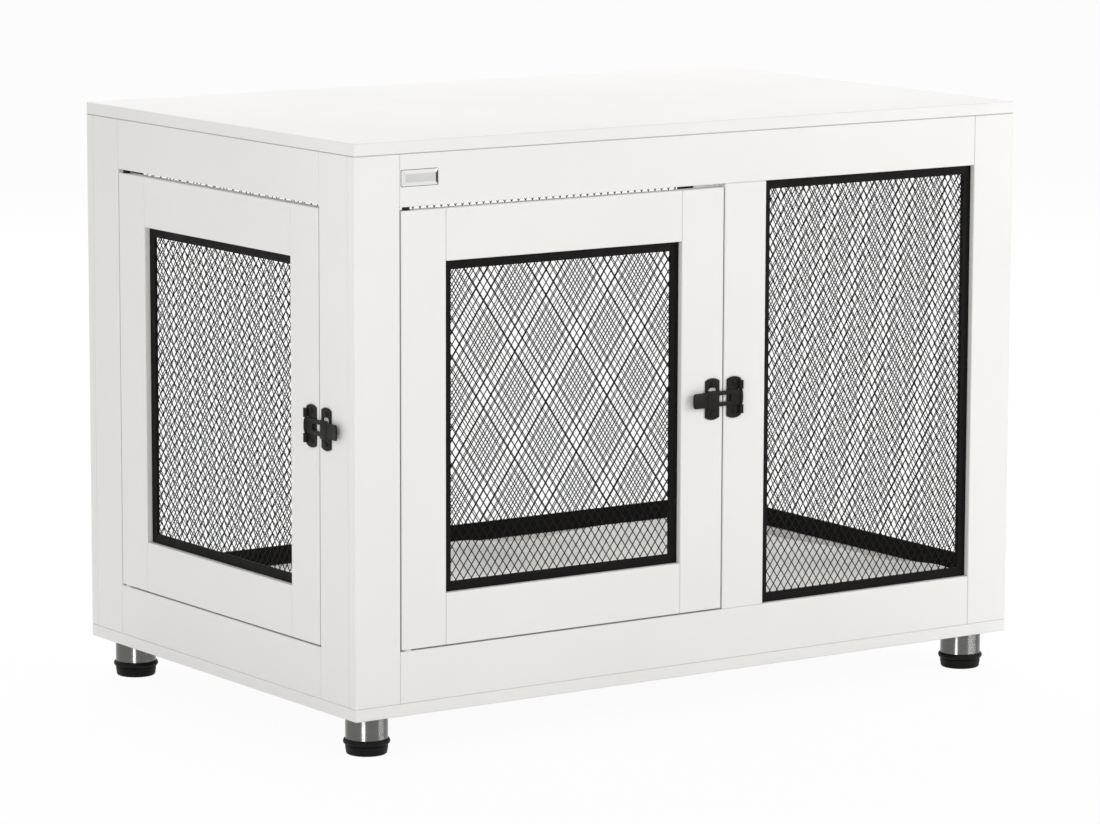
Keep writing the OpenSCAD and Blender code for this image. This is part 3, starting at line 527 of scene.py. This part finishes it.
def diamond_sheet(width, height):
    """A sheet of expanded diamond mesh that covers width by height: points and faces.

    Each crossing of strands is a rhombus, each strand between two crossings a quad, both tilted a little,
    on two layers joined by walls along every open edge.
    """
    columns = math.ceil(width / MESH_W) + 1
    rows = math.ceil(height / MESH_H) + 1
    half_w, half_h = MESH_W / 2, MESH_H / 2
    k = STRAND_W / 2 / math.sin(math.atan2(MESH_H, MESH_W))
    k_up = k * MESH_H / MESH_W
    reach = {"left": (-k, 0, 0), "right": (k, 0, 0),
             "down": (0, -k_up, -STRAND_TILT), "up": (0, k_up, STRAND_TILT)}
    start_u, start_v = (width - columns * MESH_W) / 2, (height - rows * MESH_H) / 2
    points, index, flat = [], {}, []
    for i in range(2 * columns + 1):
        for j in range(2 * rows + 1):
            if (i + j) % 2:
                for side, (du, dv, dw) in reach.items():
                    index[i, j, side] = len(points)
                    points.append((start_u + i * half_w + du, start_v + j * half_h + dv, dw))
    for i in range(2 * columns + 1):
        for j in range(2 * rows + 1):
            if (i + j) % 2:
                flat.append([index[i, j, side] for side in ("left", "down", "right", "up")])
                if (i + 1, j + 1, "left") in index:
                    flat.append([index[i, j, "right"], index[i + 1, j + 1, "down"],
                                 index[i + 1, j + 1, "left"], index[i, j, "up"]])
                if (i + 1, j - 1, "left") in index:
                    flat.append([index[i, j, "down"], index[i + 1, j - 1, "left"],
                                 index[i + 1, j - 1, "up"], index[i, j, "right"]])
    n = len(points)
    edges = {(q[a], q[(a + 1) % 4]) for q in flat for a in range(4)}
    walls = [[b, a, a + n, b + n] for a, b in edges if (b, a) not in edges]
    layers = [(u, v, w + face) for face in (STRAND_T / 2, -STRAND_T / 2) for u, v, w in points]
    backs = [[a + n for a in reversed(q)] for q in flat]
    return layers, flat + backs + walls


def grille(node):
    """Shows a grille of the frame as flat bar and mesh at its real pitch."""
    lo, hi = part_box(node)
    size = hi - lo
    through = 0 if size[0] < size[1] else 1
    along = 1 - through

    def place(points, u0, v0, w0):
        placed = []
        for u, v, w in points:
            p = [0.0, 0.0, lo[2] + v0 + v]
            p[along] = lo[along] + u0 + u
            p[through] = lo[through] + w0 + w
            placed.append(p)
        return placed

    points, faces = bar_ring(size[along], size[2], size[through])
    bar = new_piece(node + "_bar", place(points, 0, 0, 0), faces, "grille_steel", BODY_OF[node])
    fix_normals(bar)
    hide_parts(node)
    inner_w, inner_h = size[along] - 2 * BAR_W, size[2] - 2 * BAR_W
    points, faces = diamond_sheet(inner_w, inner_h)
    sheet = new_piece(node + "_mesh", place(points, BAR_W, BAR_W, size[through] / 2), faces,
                      "grille_steel", BODY_OF[node])
    fix_normals(sheet)


# Screws


def screw_shape(shank_r, head_r, head_h, length):
    """The mesh of a pan head screw along z, head down at z = 0, with a cross recess."""
    turns = [math.radians(angle) for angle in DOME_ANGLES]
    dome = [(head_r * math.sin(t), head_h * (1 - math.cos(t)) * DOME_SHARE) for t in turns]
    shank = [(shank_r, head_h), (shank_r, length - 3 * shank_r), (0, length)]
    screw = solid(*lathe([(0, 0)] + dome + [(head_r, head_h)] + shank))
    recess = add_mesh("recess", [], [])
    size = [share * whole for share, whole in zip(RECESS, (head_r, head_r, head_h))]
    shape = bmesh.new()
    for turn in (0, 90):
        arm = bmesh.ops.create_cube(shape, size=1.0)["verts"]
        bmesh.ops.scale(shape, verts=arm, vec=size)
        for v in arm:
            if v.co.z > 0:
                v.co.x *= RECESS_TAPER[0]
                v.co.y *= RECESS_TAPER[1]
        bmesh.ops.rotate(shape, verts=arm, matrix=Matrix.Rotation(math.radians(turn), 3, "Z"))
    shape.to_mesh(recess.data)
    shape.free()
    combine(screw, recess, "DIFFERENCE", crossed=True)
    mesh = screw.data
    bpy.data.objects.remove(screw)
    return mesh


def loose_parts(node):
    """The points of each separate solid of a node."""
    shape = bmesh.new()
    shape.from_mesh(frame["nodes"][node].data)
    bmesh.ops.remove_doubles(shape, verts=shape.verts, dist=1e-6)
    seen, parts = set(), []
    for first in shape.verts:
        if first in seen:
            continue
        seen.add(first)
        part, queue = [], [first]
        while queue:
            v = queue.pop()
            part.append(v.co.copy())
            for e in v.link_edges:
                w = e.other_vert(v)
                if w not in seen:
                    seen.add(w)
                    queue.append(w)
        parts.append(np.array(part))
    shape.free()
    return parts


def detailed_screws(node):
    """Shows the screws of a node with a cross recess, each where the node's is and turned its own way."""
    points, faces = [], []
    for part in loose_parts(node):
        lo, hi = part.min(0), part.max(0)
        axis = int(np.argmax(hi - lo))
        middle = (lo + hi) / 2
        others = [i for i in range(3) if i != axis]
        radius = np.hypot(*(part[:, others] - middle[others]).T)
        at_head = part[radius > 0.9 * radius.max(), axis].mean() < middle[axis]
        length = float(hi[axis] - lo[axis])
        shape = screw_shape_of(round(length, 5), round(float(radius.max()), 5))
        direction = Vector([0, 0, 0])
        direction[axis] = 1 if at_head else -1
        start = Vector(middle)
        start[axis] = lo[axis] if at_head else hi[axis]
        turn = Vector((0, 0, 1)).rotation_difference(direction).to_matrix().to_4x4()
        spin = Matrix.Rotation(SCREW_TURN * len(points), 4, "Z")
        move = Matrix.Translation(start) @ turn @ spin
        base = len(points)
        points += [move @ v.co for v in shape.vertices]
        faces += [[base + i for i in p.vertices] for p in shape.polygons]
    piece = new_piece(node + "_detailed", points, faces, "black_screws", BODY_OF[node])
    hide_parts(node)


SCREW_SHAPES = {}


def screw_shape_of(length, head_r):
    if (length, head_r) not in SCREW_SHAPES:
        SCREW_SHAPES[length, head_r] = screw_shape(SCREW_SHANK_R, head_r, SCREW_HEAD_H, length)
    return SCREW_SHAPES[length, head_r]


# Latches and the bare plate


def stand_in(made, place, node):
    """Softens the edges of a loose form and makes it the piece that is shown for a node."""
    edges = made.modifiers.new("edges", "BEVEL")
    edges.width = EDGE_R
    edges.segments = 2
    edges.limit_method = "ANGLE"
    edges.angle_limit = EDGE_ANGLE
    apply_modifiers(made)
    shape = made.data
    piece = new_piece(node + "_formed", [place @ v.co for v in shape.vertices],
                      [list(p.vertices) for p in shape.polygons], SLOT_OF[node], BODY_OF[node], smooth=True)
    bpy.data.objects.remove(made)
    fix_normals(piece)
    piece.data.set_sharp_from_angle(angle=EDGE_ANGLE)
    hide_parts(node)


def arc(middle, radius, start, end, steps=6):
    """Points of an arc, its angles in degrees."""
    turns = [math.radians(start + (end - start) * i / steps) for i in range(steps + 1)]
    return [(middle[0] + radius * math.cos(t), middle[1] + radius * math.sin(t)) for t in turns]


def arm_outline():
    """The latch arm on the face of the board, as (along, up)."""
    half, corner, bridge = ARM_H / 2, TAB_CORNER_R, BRIDGE_H / 2 - BRIDGE_CORNER_R
    heights = np.linspace(0, half - corner, 5)
    end = [(ARM_L - TAB_END_R + math.sqrt(TAB_END_R ** 2 - v * v), v) for v in heights]
    start = math.degrees(math.asin((half - bridge) / BRIDGE_CORNER_R))
    upper = (end + arc((end[-1][0] - corner, half - corner), corner, 10, 90)
             + arc((BRIDGE_TO - BRIDGE_CORNER_R, bridge), BRIDGE_CORNER_R, start, 90)
             + arc((BRIDGE_FROM + BRIDGE_CORNER_R, bridge), BRIDGE_CORNER_R, 90, 180 - start) + [(0, half)])
    return upper + [(a, -v) for a, v in reversed(upper[1:])]


def arm_profile():
    """The arm seen along its axis, as (along, over the board): strap, bridge, groove and finger tab."""
    def height(a):
        rise = max(0, min(BRIDGE_RISE, a - BRIDGE_FROM))
        bend = max(0, a - BRIDGE_TO)
        return rise + TAB_BEND_R - math.sqrt(TAB_BEND_R ** 2 - bend ** 2)

    top = ARM_OUT + BRIDGE_RISE
    strap = [(a, ARM_OUT + height(a)) for a in (0, BRIDGE_FROM, BRIDGE_FROM + BRIDGE_RISE)]
    groove = [(BRIDGE_TO - GROOVE, top), (BRIDGE_TO, top - GROOVE), (BRIDGE_TO + GROOVE, top)]
    tab = [(a, ARM_OUT + height(a)) for a in np.linspace(BRIDGE_TO + 2 * GROOVE, ARM_L + TAB_OVER, 9)]
    under = [(a, o - ARM_T) for a, o in strap + [(BRIDGE_TO, top)] + tab]
    return strap + groove + tab + list(reversed(under))


def latch_place(side):
    """Takes (along the arm, out of the board, up), from the board under the latch's axis, to the frame."""
    lo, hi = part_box(side + "_latch_pin")
    origin = (lo + hi) / 2
    out = 1 if side == "front" else 0
    origin[out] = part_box(side + "_latch_hinge_plate")[1][out]
    turn = Matrix(((-1, 0, 0), (0, -1, 0), (0, 0, 1)))
    if side == "side":
        turn = Matrix(((0, -1, 0), (-1, 0, 0), (0, 0, 1)))
    return Matrix.Translation(origin) @ turn.to_4x4()


def latch_arm(side):
    place = latch_place(side)
    lo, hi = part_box(side + "_latch_pin")
    axis_out = (place.inverted() @ ((lo + hi) / 2)).y
    on_axis = (0, axis_out, 0)
    arm = prism(arm_profile(), -BRIDGE_H / 2, BRIDGE_H / 2, (0, 1, 2))
    combine(arm, prism(arm_outline(), -THROUGH, THROUGH, (0, 2, 1)), "INTERSECT")
    slot = [(a + SLOT_FROM, v - SLOT_H / 2) for a, v in rounded_section(SLOT_L, SLOT_H, SLOT_CORNER_R)]
    combine(arm, prism(slot, -THROUGH, THROUGH, (0, 2, 1)), "DIFFERENCE")
    half = BARREL_H / 2
    barrel = [(0, -half), (BARREL_END_R, -half), (BARREL_R, -half / 3), (BARREL_R, half / 3),
              (BARREL_END_R, half), (0, half)]
    combine(arm, round_bar(barrel, on_axis), "UNION")
    bore_r = (hi.x - lo.x) / 2 + PIN_PLAY
    bore = [(0, -ARM_H), (bore_r, -ARM_H), (bore_r, ARM_H), (0, ARM_H)]
    combine(arm, round_bar(bore, on_axis), "DIFFERENCE")
    stand_in(arm, place, side + "_latch_arm")


def latch_keeper(side):
    place = latch_place(side)
    lo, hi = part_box(side + "_latch_keeper")
    size = hi - lo
    middle = place.inverted() @ Vector((lo + hi) / 2)
    half_w, half_h = max(size.x, size.y) / 2, size.z / 2
    across = np.linspace(-half_w, half_w, 15)
    ends = [(u, half_h - KEEPER_END_R + math.sqrt(KEEPER_END_R ** 2 - u * u)) for u in across]
    keeper = prism(ends + [(u, -v) for u, v in reversed(ends)], 0, KEEPER_T, (0, 2, 1))
    window = [(u - WINDOW_W / 2, v - WINDOW_H / 2 + WINDOW_RAISED)
              for u, v in rounded_section(WINDOW_W, WINDOW_H, WINDOW_CORNER_R)]
    combine(keeper, prism(window, -KEEPER_T, 2 * KEEPER_T, (0, 2, 1)), "DIFFERENCE")
    last_step = 360 * (1 - 1 / SCREW_HOLE_STEPS)
    for height in (-KEEPER_SCREW_AT, KEEPER_SCREW_AT):
        hole = arc((0, height), SCREW_HOLE_R, 0, last_step, SCREW_HOLE_STEPS - 1)
        combine(keeper, prism(hole, -KEEPER_T, 2 * KEEPER_T, (0, 2, 1)), "DIFFERENCE")
    inner = CATCH_R - KEEPER_T
    foot = math.degrees(math.acos(KEEPER_T / inner))
    reach = WINDOW_W / 2 + STRIP_LAP
    strip = ([(reach, 0), (reach, KEEPER_T)] + arc((0, KEEPER_T), CATCH_R, 0, 180, 16)
             + [(-reach, KEEPER_T), (-reach, 0)] + arc((0, KEEPER_T), inner, 270 - foot, foot - 90, 16))
    combine(keeper, prism(strip, -CATCH_H / 2, CATCH_H / 2, (0, 1, 2)), "UNION")
    stand_in(keeper, place @ Matrix.Translation((middle[0], 0, 0)), side + "_latch_keeper")


def bare_plate():
    """The bare plate on the front, with bevels all round."""
    lo, hi = plate_box()
    outer = rounded_section(PLATE_W, PLATE_H, PLATE_CORNER_R)
    inner = rounded_section(PLATE_W - 2 * PLATE_BEVEL, PLATE_H - 2 * PLATE_BEVEL, PLATE_CORNER_R / 4)
    points = [(lo[0] + u, hi[1], lo[2] + v) for u, v in outer]
    points += [(lo[0] + PLATE_BEVEL + u, lo[1], lo[2] + PLATE_BEVEL + v) for u, v in inner]
    n = len(outer)
    faces = [list(reversed(range(n))), list(range(n, 2 * n))]
    faces += [[i, (i + 1) % n, n + (i + 1) % n, n + i] for i in range(n)]
    piece = new_piece("bare_plate", points, faces, SLOT_OF["badge_plate"], BODY_OF["badge_plate"])
    fix_normals(piece)
    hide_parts("badge_plate")


# Cushion


def cushion_outline(a, b, draw, n=26):
    """A rectangle a by b, half sizes, with its sides drawn in between its corners."""
    corners = [Vector((-a, -b)), Vector((a, -b)), Vector((a, b)), Vector((-a, b))]
    inward = [Vector((0, 1)), Vector((-1, 0)), Vector((0, -1)), Vector((1, 0))]
    return [corners[s].lerp(corners[(s + 1) % 4], i / n) + inward[s] * draw * 4 * (i / n) * (1 - i / n)
            for s in range(4) for i in range(n)]


def cushion():
    """A soft pad that fills the floor: a closed form, blown up as cloth, then rumpled a little."""
    lo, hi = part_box("cushion")
    middle, size = (lo + hi) / 2, hi - lo
    points, faces = [], []
    for inset, share in CUSHION_RINGS:
        gap = CUSHION_START + inset * MM
        z = lo[2] + CUSHION_START / 3 + share * size[2]
        outline = cushion_outline(size[0] / 2 - gap, size[1] / 2 - gap, CUSHION_DRAWN_IN)
        points += [(p[0] + middle[0], p[1] + middle[1], z) for p in outline]
    n = len(points) // len(CUSHION_RINGS)
    for k in range(0, len(points) - n, n):
        faces += [[k + i, k + (i + 1) % n, k + n + (i + 1) % n, k + n + i] for i in range(n)]
    faces.append(list(reversed(range(n))))
    faces.append(list(range(len(points) - n, len(points))))
    piece = new_piece("cushion_soft", points, faces, "cushion_fabric", BODY_OF["cushion"], smooth=True)
    fix_normals(piece)
    remesh = piece.modifiers.new("remesh", "REMESH")
    remesh.mode = "VOXEL"
    remesh.voxel_size = CUSHION_VOXEL
    apply_modifiers(piece)
    start = np.array([v.co for v in piece.data.vertices])
    blow_up(piece)
    settle(piece, start, lo, hi)
    smooth = piece.modifiers.new("smooth", "SUBSURF")
    smooth.levels = smooth.render_levels = 1
    apply_modifiers(piece)
    shade_smooth(piece)
    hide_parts("cushion")
    return piece


def blow_up(piece):
    """Lets the pad swell as cloth under pressure."""
    cloth = piece.modifiers.new("cloth", "CLOTH")
    cloth.settings.use_pressure = True
    cloth.settings.uniform_pressure_force = CLOTH_PRESSURE
    cloth.settings.mass = CLOTH_MASS
    cloth.settings.effector_weights.gravity = 0
    cloth.point_cache.frame_start = 1
    cloth.point_cache.frame_end = CLOTH_FRAMES
    for number in range(1, CLOTH_FRAMES + 1):
        bpy.context.scene.frame_set(number)
    apply_modifiers(piece)
    bpy.context.scene.frame_set(1)


def settle(piece, start, lo, hi):
    """Limits how far the cloth has moved, rumples the top and fits it to the frame's box, but higher."""
    now = np.array([v.co for v in piece.data.vertices])
    moved = now - start
    far = np.linalg.norm(moved, axis=1, keepdims=True)
    now = start + moved * np.minimum(1, CUSHION_CAP / np.maximum(far, 1e-9))
    x, y = now[:, 0], now[:, 1]
    up = np.clip((now[:, 2] - lo[2]) / (hi[2] - lo[2]), 0, 1)
    # Long, crossing and short waves, in radians for each metre
    waves = (np.sin(8.3 * x + 1.0) * np.sin(11.7 * y + 0.4) + 0.6 * np.sin(19 * x - 13 * y)
             + 0.45 * np.sin(31 * y + 17 * x + 2.0))
    from_side = np.minimum(np.minimum(x - lo[0], hi[0] - x), np.minimum(y - lo[1], hi[1] - y))
    rim = np.exp(-((from_side - RIM_FROM_SIDE) / RIM_W) ** 2)
    rim_h = RIM_H + RIM_WAVE * np.sin(23 * x + 9 * y)
    fold = np.exp(-((x - FOLD_AT[0]) / FOLD_R[0]) ** 2 - ((y - FOLD_AT[1]) / FOLD_R[1]) ** 2)
    now[:, 2] += up * (waves * WAVE_H + rim * rim_h + fold * FOLD_H)
    low, high = np.array(lo), np.array(hi) + np.array([0, 0, CUSHION_PROUD])
    now = (now - now.min(0)) * (high - low) / (now.max(0) - now.min(0)) + low
    piece.data.vertices.foreach_set("co", now.astype(np.float32).ravel())
    piece.data.update()


# Stage, light and camera


def seen_directly(tree):
    """1 where a ray comes from the camera or by way of metal or glass, else 0."""
    path = tree.nodes.new("ShaderNodeLightPath")
    total = path.outputs["Is Camera Ray"]
    for name in ("Is Glossy Ray", "Is Transmission Ray"):
        add = tree.nodes.new("ShaderNodeMath")
        add.operation = "MAXIMUM"
        tree.links.new(total, add.inputs[0])
        tree.links.new(path.outputs[name], add.inputs[1])
        total = add.outputs[0]
    return total


def world(level):
    """White behind the object, and even light of the given level on it."""
    sky = bpy.data.worlds.new("studio")
    bpy.context.scene.world = sky
    sky.use_nodes = True
    tree = sky.node_tree
    light = tree.nodes["Background"]
    light.inputs["Color"].default_value = (1, 1, 1, 1)
    light.inputs["Strength"].default_value = level
    white = tree.nodes.new("ShaderNodeBackground")
    white.inputs["Color"].default_value = (1, 1, 1, 1)
    mix = tree.nodes.new("ShaderNodeMixShader")
    tree.links.new(seen_directly(tree), mix.inputs["Fac"])
    tree.links.new(light.outputs[0], mix.inputs[1])
    tree.links.new(white.outputs[0], mix.inputs[2])
    tree.links.new(mix.outputs[0], tree.nodes["World Output"].inputs["Surface"])


def floor():
    """A pale floor that seems as white as the background and keeps a soft shadow."""
    corners = [(x * FLOOR_HALF, y * FLOOR_HALF, 0) for x, y in ((-1, -1), (1, -1), (1, 1), (-1, 1))]
    ground = add_mesh("floor", corners, [(0, 1, 2, 3)])
    material = bpy.data.materials.new("floor_white")
    material.use_nodes = True
    tree = material.node_tree
    tree.nodes.clear()
    matte = tree.nodes.new("ShaderNodeBsdfDiffuse")
    matte.inputs["Color"].default_value = (0.86, 0.86, 0.86, 1)
    white = tree.nodes.new("ShaderNodeEmission")
    white.inputs["Color"].default_value = (1, 1, 1, 1)
    share = tree.nodes.new("ShaderNodeMath")
    share.operation = "MULTIPLY"
    share.inputs[1].default_value = FLOOR_WHITE
    tree.links.new(seen_directly(tree), share.inputs[0])
    mix = tree.nodes.new("ShaderNodeMixShader")
    tree.links.new(share.outputs[0], mix.inputs["Fac"])
    tree.links.new(matte.outputs[0], mix.inputs[1])
    tree.links.new(white.outputs[0], mix.inputs[2])
    out = tree.nodes.new("ShaderNodeOutputMaterial")
    tree.links.new(mix.outputs[0], out.inputs["Surface"])
    ground.data.materials.append(material)


def lamp(name, at, aim, size, power, height=None):
    data = bpy.data.lights.new(name, "AREA")
    data.energy = power
    data.size = size
    if height is not None:
        data.shape = "RECTANGLE"
        data.size_y = height
    light = bpy.data.objects.new(name, data)
    bpy.context.scene.collection.objects.link(light)
    light.location = at
    light.rotation_euler = (Vector(aim) - Vector(at)).to_track_quat("-Z", "Y").to_euler()
    light.visible_camera = False
    return light


def group(name, members, state):
    """A collection that a lamp shines on alone, or leaves out."""
    made = bpy.data.collections.new(name)
    for member in members:
        made.objects.link(member)
    for row in made.collection_objects:
        row.light_linking.link_state = state
    return made


def lights(soft):
    """Places the lamps: streak and band shine on the steel tubes alone, and back leaves out the cushion."""
    made = {name: lamp(name, **row) for name, row in LAMPS.items()}
    made["back"].light_linking.receiver_collection = group("not_the_cushion", [soft], "EXCLUDE")
    steel = [node for name, node in frame["nodes"].items() if SLOT_OF[name] == "brushed_tube"]
    tubes = group("tubes", steel, "INCLUDE")
    for name in ("streak", "band"):
        made[name].light_linking.receiver_collection = tubes
    for name in ("back", "inside"):
        made[name].visible_glossy = False


def dark_card():
    """A dark board beside the crate, seen only in the plate's bevel and the tubes."""
    near, far = CARD_Y
    corners = [(CARD_X, y, z) for y, z in ((near, 0), (far, 0), (far, CARD_H), (near, CARD_H))]
    card = add_mesh("card", corners, [(0, 1, 2, 3)])
    material = bpy.data.materials.new("card_black")
    material.use_nodes = True
    material.node_tree.nodes["Principled BSDF"].inputs["Base Color"].default_value = (0.02, 0.02, 0.02, 1)
    card.data.materials.append(material)
    for kind in ("camera", "diffuse", "transmission", "volume_scatter", "shadow"):
        setattr(card, "visible_" + kind, False)


def camera():
    data = bpy.data.cameras.new("camera")
    data.sensor_width = 36
    data.lens = CAMERA_LENS
    data.clip_end = 100
    cam = bpy.data.objects.new("camera", data)
    bpy.context.scene.collection.objects.link(cam)
    aim = (CAMERA_LOOKS_AT - CAMERA_AT).to_track_quat("-Z", "Y").to_matrix().to_4x4()
    cam.matrix_world = Matrix.Translation(CAMERA_AT) @ aim @ Matrix.Rotation(CAMERA_ROLL, 4, "Z")
    bpy.context.scene.camera = cam


camera()
dress_frame()
for grille_node in ("front_window_grille", "right_side_grille", "back_grille",
                    "front_door_grille", "side_door_grille"):
    grille(grille_node)
for screw_node in ("crate_screws", "front_door_screws", "side_door_screws"):
    detailed_screws(screw_node)
for side in ("front", "side"):
    latch_arm(side)
    latch_keeper(side)
bare_plate()
soft_cushion = cushion()
world(SKY_LEVEL)
floor()
lights(soft_cushion)
dark_card()
bpy.context.scene.view_settings.view_transform = "Standard"
